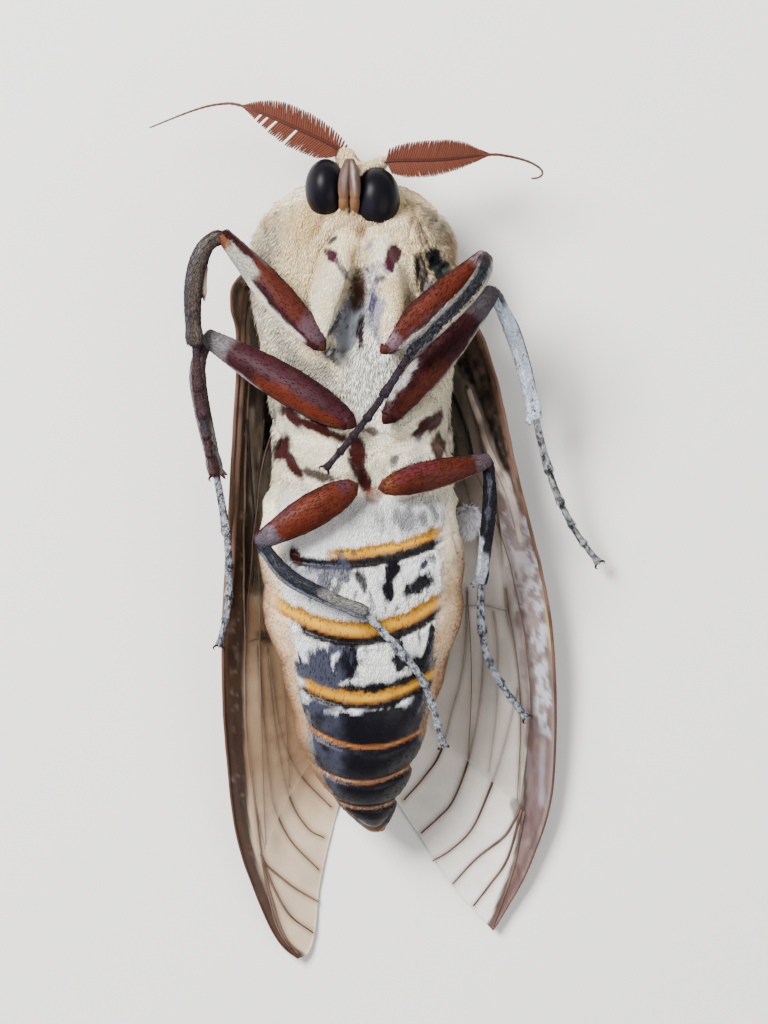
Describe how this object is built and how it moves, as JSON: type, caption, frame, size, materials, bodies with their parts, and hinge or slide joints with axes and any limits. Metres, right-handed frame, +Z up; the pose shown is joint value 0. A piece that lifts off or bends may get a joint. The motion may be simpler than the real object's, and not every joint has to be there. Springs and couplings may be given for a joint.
{
  "type": "endoxyla wood moth",
  "caption": "Large male wood moth lying on its back: furry thorax, banded abdomen, comb-like feelers, folded legs and long veined wings tucked beneath.",
  "frame": {"origin": "On the floor under the middle of the moth's outline as seen from above.", "axes": "+Z up, the way the belly faces; +Y towards the head; +X to the moth's own left."},
  "size_m": [0.0522, 0.0974, 0.0207],
  "materials": {
    "fur": "dense short cream fur with yellow and grey tints",
    "belly": "scaled rings of white, blue-black and orange",
    "eye": "near black, smooth, softly glossy",
    "palp": "short taupe scales",
    "antenna": "matt red-brown",
    "thigh": "satin dark red-brown with pale scales",
    "shin": "dark slate with white scales",
    "foot": "white and grey scales with dark specks",
    "wing": "thin brown membrane with dark veins"
  },
  "bodies": {
    "root": {"head": "fur", "eye_left": "eye", "eye_right": "eye", "palp_left": "palp", "palp_right": "palp", "antenna_left": "antenna", "antenna_right": "antenna", "prothorax": "fur", "mesothorax": "fur", "metathorax": "fur", "abdomen_1": "belly", "abdomen_2": "belly", "abdomen_3": "belly", "abdomen_4": "belly", "abdomen_5": "belly", "abdomen_6": "belly", "abdomen_7": "belly", "fore_left_coxa": "fur", "fore_left_femur": "thigh", "fore_left_tibia": "shin", "fore_left_tarsus": "foot", "fore_right_coxa": "fur", "fore_right_femur": "thigh", "fore_right_tibia": "shin", "fore_right_tarsus": "foot", "mid_left_coxa": "fur", "mid_left_femur": "thigh", "mid_left_tibia": "shin", "mid_left_tarsus": "foot", "mid_right_coxa": "fur", "mid_right_femur": "thigh", "mid_right_tibia": "shin", "mid_right_tarsus": "foot", "hind_left_coxa": "fur", "hind_left_femur": "thigh", "hind_left_tibia": "shin", "hind_left_tarsus": "foot", "hind_right_coxa": "fur", "hind_right_femur": "thigh", "hind_right_tibia": "shin", "hind_right_tarsus": "foot", "forewing_left": "wing", "forewing_right": "wing", "hindwing_left": "wing", "hindwing_right": "wing"}
  },
  "joints": []
}
